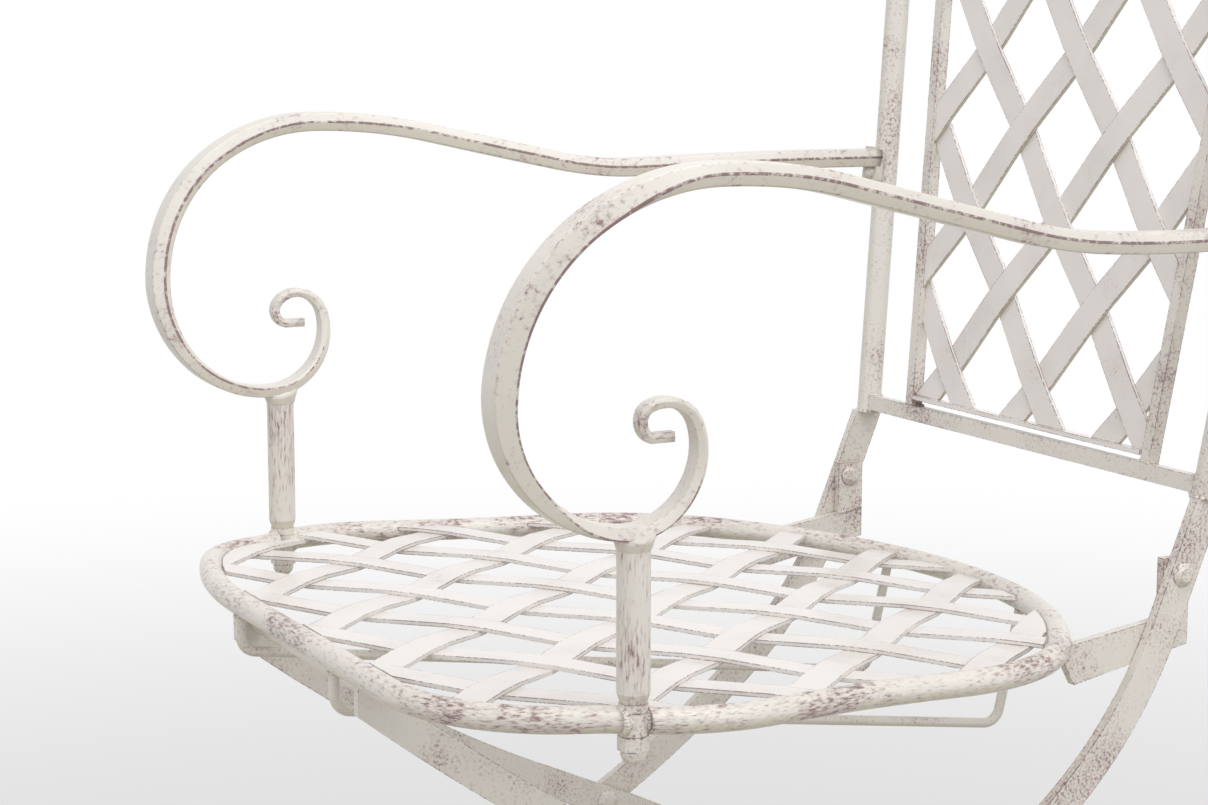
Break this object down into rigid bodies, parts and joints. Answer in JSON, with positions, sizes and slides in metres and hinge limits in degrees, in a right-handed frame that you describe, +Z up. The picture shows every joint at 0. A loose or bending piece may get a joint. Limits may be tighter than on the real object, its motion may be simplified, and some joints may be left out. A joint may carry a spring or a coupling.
{
  "type": "garden armchair",
  "caption": "Cream-painted steel garden armchair with crossed flat-bar legs, a woven strip seat and back in tube rims, and scrolled arms bolted to seat and back.",
  "frame": {"origin": "on the floor, at the middle of the chair's width and depth", "axes": "+Z up, the sitter faces -Y, and the sitter's left is +X"},
  "size_m": [0.5414, 0.5784, 0.965],
  "materials": {
    "frame_paint": "satin antique cream with brown wear",
    "strip_paint": "satin antique cream with brown wear",
    "arm_paint": "satin antique cream with brown wear",
    "fastener_paint": "satin antique cream with brown wear"
  },
  "bodies": {
    "root": {"arm_bolts": "fastener_paint", "back_bottom_rail": "frame_paint", "back_strip_left_1": "strip_paint", "back_strip_left_2": "strip_paint", "back_strip_left_3": "strip_paint", "back_strip_left_4": "strip_paint", "back_strip_left_5": "strip_paint", "back_strip_left_6": "strip_paint", "back_strip_left_7": "strip_paint", "back_strip_right_1": "strip_paint", "back_strip_right_2": "strip_paint", "back_strip_right_3": "strip_paint", "back_strip_right_4": "strip_paint", "back_strip_right_5": "strip_paint", "back_strip_right_6": "strip_paint", "back_top_bow": "frame_paint", "domed_nuts": "fastener_paint", "front_leg_stretcher": "frame_paint", "left_arm": "arm_paint", "left_arm_post": "arm_paint", "left_back_upright": "frame_paint", "left_front_leg": "frame_paint", "left_guide_rod": "frame_paint", "left_panel_bar": "frame_paint", "left_rear_leg": "frame_paint", "left_seat_bracket": "frame_paint", "panel_bottom_strip": "strip_paint", "pivot_rivets": "fastener_paint", "post_rings": "fastener_paint", "post_sleeves": "fastener_paint", "rear_leg_cross_rod": "frame_paint", "rear_leg_stretcher": "frame_paint", "right_arm": "arm_paint", "right_arm_post": "arm_paint", "right_back_upright": "frame_paint", "right_front_leg": "frame_paint", "right_guide_rod": "frame_paint", "right_panel_bar": "frame_paint", "right_rear_leg": "frame_paint", "right_seat_bracket": "frame_paint", "seat_bracket_tabs": "frame_paint", "seat_rim_front": "frame_paint", "seat_rim_rear": "frame_paint", "seat_strip_left_1": "strip_paint", "seat_strip_left_2": "strip_paint", "seat_strip_left_3": "strip_paint", "seat_strip_left_4": "strip_paint", "seat_strip_left_5": "strip_paint", "seat_strip_left_6": "strip_paint", "seat_strip_left_7": "strip_paint", "seat_strip_left_8": "strip_paint", "seat_strip_right_1": "strip_paint", "seat_strip_right_2": "strip_paint", "seat_strip_right_3": "strip_paint", "seat_strip_right_4": "strip_paint", "seat_strip_right_5": "strip_paint", "seat_strip_right_6": "strip_paint", "seat_strip_right_7": "strip_paint", "seat_strip_right_8": "strip_paint"}
  },
  "joints": []
}
